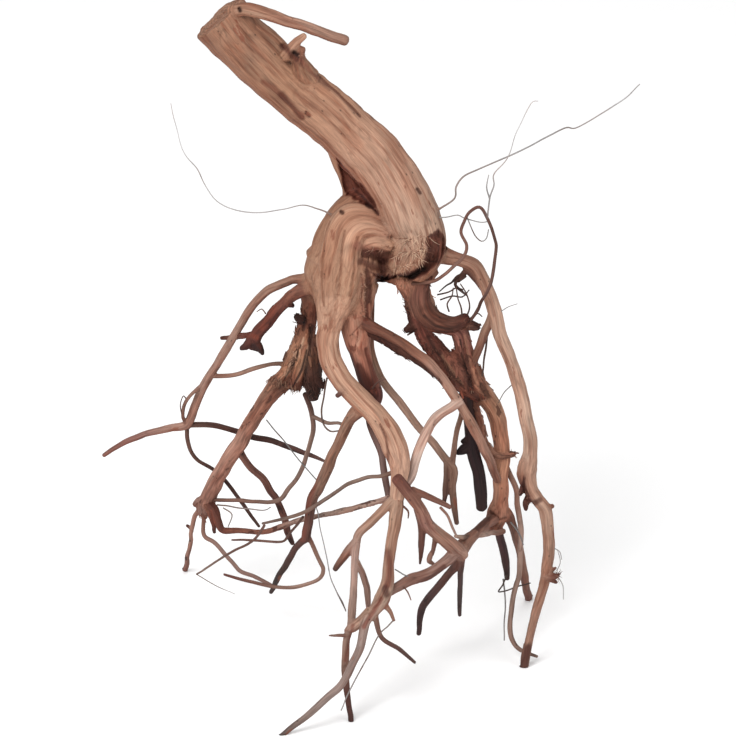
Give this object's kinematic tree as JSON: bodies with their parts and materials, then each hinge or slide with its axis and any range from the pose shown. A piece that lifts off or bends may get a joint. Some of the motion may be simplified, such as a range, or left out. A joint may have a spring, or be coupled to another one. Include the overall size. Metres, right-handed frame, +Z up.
{
  "type": "aquarium root",
  "caption": "Driftwood root for an aquarium: a sawn, leaning trunk that stands on its own spreading, tangled roots.",
  "frame": {"origin": "bottom centre of the root's box, on the surface that its root tips stand on", "axes": "+Z up, the longest side of the box; -Y towards the viewer of the picture, where the front root's tip stands; +X to the viewer's right"},
  "size_m": [0.2958, 0.2114, 0.3894],
  "materials": {
    "bare_wood": "barkless, water-worn, dry and matt, with a long fibrous grain",
    "pink_wood": "barkless, reddish, dry and matt",
    "rusty_wood": "rust brown, torn and matt",
    "bark": "flaking dark bark over brown wood, rough and matt",
    "dark_root": "almost black, dried root skin, matt",
    "rootlet": "grey-brown, thin and fibrous, matt"
  },
  "bodies": {
    "root": {"trunk": "bare_wood", "top_branch": "bare_wood", "front_root": "bare_wood", "front_root_tip": "bare_wood", "front_side_root": "bare_wood", "middle_root": "pink_wood", "bark_root": "bark", "bark_root_foot": "dark_root", "bark_side_root": "dark_root", "sling_root": "bare_wood", "left_root": "bare_wood", "left_cross_root": "dark_root", "left_drop_root": "dark_root", "left_bridge_root": "bare_wood", "rust_stub_root": "rusty_wood", "thin_hanging_root": "rootlet", "middle_left_root": "bare_wood", "looped_rootlet": "bare_wood", "hook_root": "rusty_wood", "crossing_rootlet": "rootlet", "right_bark_root": "bark", "charred_stub": "dark_root", "right_drop_root": "dark_root", "right_leg": "bare_wood", "companion_root": "rootlet", "crossing_root": "bare_wood", "pale_arc_root": "bare_wood", "straight_root": "bare_wood", "overlay_root": "bare_wood", "joint_left_root": "bare_wood", "joint_leg_left": "dark_root", "joint_leg_right": "dark_root", "knot_bridge_root": "bare_wood", "right_root": "bare_wood", "right_root_tip": "bare_wood", "right_bridge_root": "bare_wood", "tendril": "rootlet", "long_rootlet_right": "rootlet", "long_rootlet_upper": "rootlet", "long_rootlet_left": "rootlet"}
  },
  "joints": []
}
